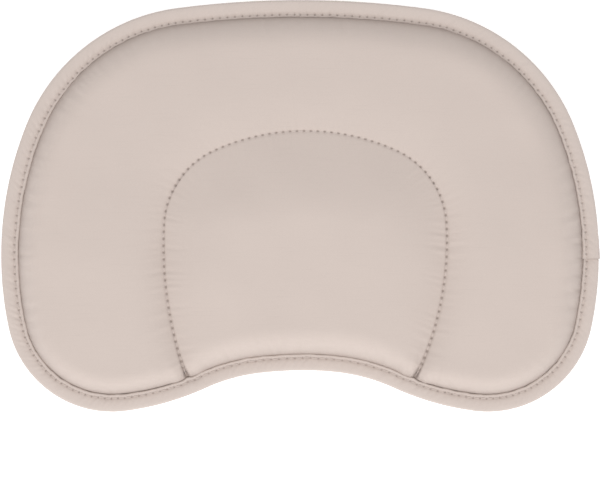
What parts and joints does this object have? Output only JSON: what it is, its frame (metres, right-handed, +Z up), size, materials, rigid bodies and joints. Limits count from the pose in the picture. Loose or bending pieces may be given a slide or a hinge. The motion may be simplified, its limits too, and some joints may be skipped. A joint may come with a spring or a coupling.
{
  "type": "contoured head pillow",
  "caption": "Flat kidney-shaped baby head pillow with a bound edge, a neck hollow and an arched quilting seam that shapes the place for the head.",
  "frame": {"origin": "middle of the pillow's outline, on the surface that it rests on", "axes": "+Z up out of the front face, +Y from the neck hollow to the crown, +X along the pillow's width to the right"},
  "size_m": [0.2605, 0.179, 0.028],
  "materials": {
    "cover_cloth": "smooth sateen weave, beige",
    "binding_tape": "folded woven tape, beige",
    "thread": "spun sewing thread, beige",
    "fibre_filling": "white fibre wadding",
    "lining_cloth": "thin white lining"
  },
  "bodies": {
    "root": {"front_cover": "cover_cloth", "back_cover": "cover_cloth", "quilt_lining": "lining_cloth", "quilt_wadding": "fibre_filling", "core_pad": "fibre_filling", "edge_binding": "binding_tape", "binding_stitches_front": "thread", "binding_stitches_back": "thread", "quilting_stitches_top": "thread", "quilting_stitches_under": "thread", "closing_stitches": "thread"}
  },
  "joints": []
}
